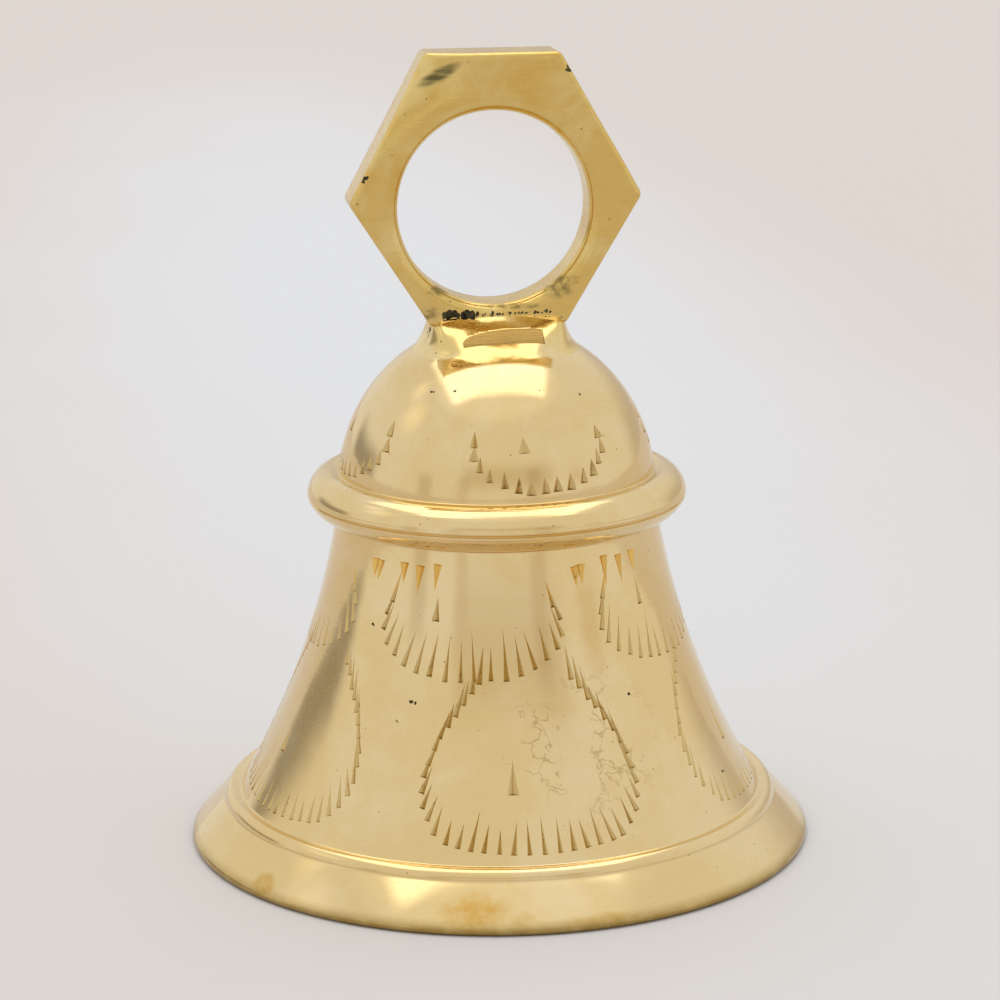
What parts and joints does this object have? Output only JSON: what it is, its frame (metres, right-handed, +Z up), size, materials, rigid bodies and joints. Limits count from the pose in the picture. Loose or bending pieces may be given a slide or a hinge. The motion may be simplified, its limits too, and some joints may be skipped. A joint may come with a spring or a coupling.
{
  "type": "puja bell",
  "caption": "Small brass hand bell: flaring chiselled skirt with a rim band, collar bead and dome, hexagonal finger ring on top, ball clapper hung inside.",
  "frame": {"origin": "centre of the mouth, on the plane of the rim that the bell stands on", "axes": "+Z up along the bell's axis to the ring; +Y along the ring's finger hole, -Y is the front; +X to the right seen from the front"},
  "size_m": [0.061, 0.061, 0.0771],
  "materials": {
    "bell_brass": "turned and polished, with chiselled marks",
    "ring_brass": "cast, filed and lightly polished",
    "solder": "brazing solder, pitted",
    "inner_brass": "plain turned",
    "link_steel": "drawn wire",
    "clapper_brass": "turned, dulled"
  },
  "bodies": {
    "bell": {"bell_shell": "bell_brass", "ring_handle": "ring_brass", "solder_collar": "solder", "crown_washer": "inner_brass", "crown_nut": "inner_brass"},
    "link": {"clapper_link": "link_steel"},
    "clapper": {"clapper_rod": "clapper_brass", "clapper_ball": "clapper_brass"}
  },
  "joints": [
    {"name": "link_swing", "type": "hinge", "parent": "bell", "child": "link", "pos_m": [0, 0, 0.0391], "axis": [0, 1, 0], "range_deg": [-25, 25]},
    {"name": "clapper_swing", "type": "hinge", "parent": "link", "child": "clapper", "pos_m": [0, 0, 0.03208], "axis": [1, 0, 0], "range_deg": [-10, 10]}
  ]
}
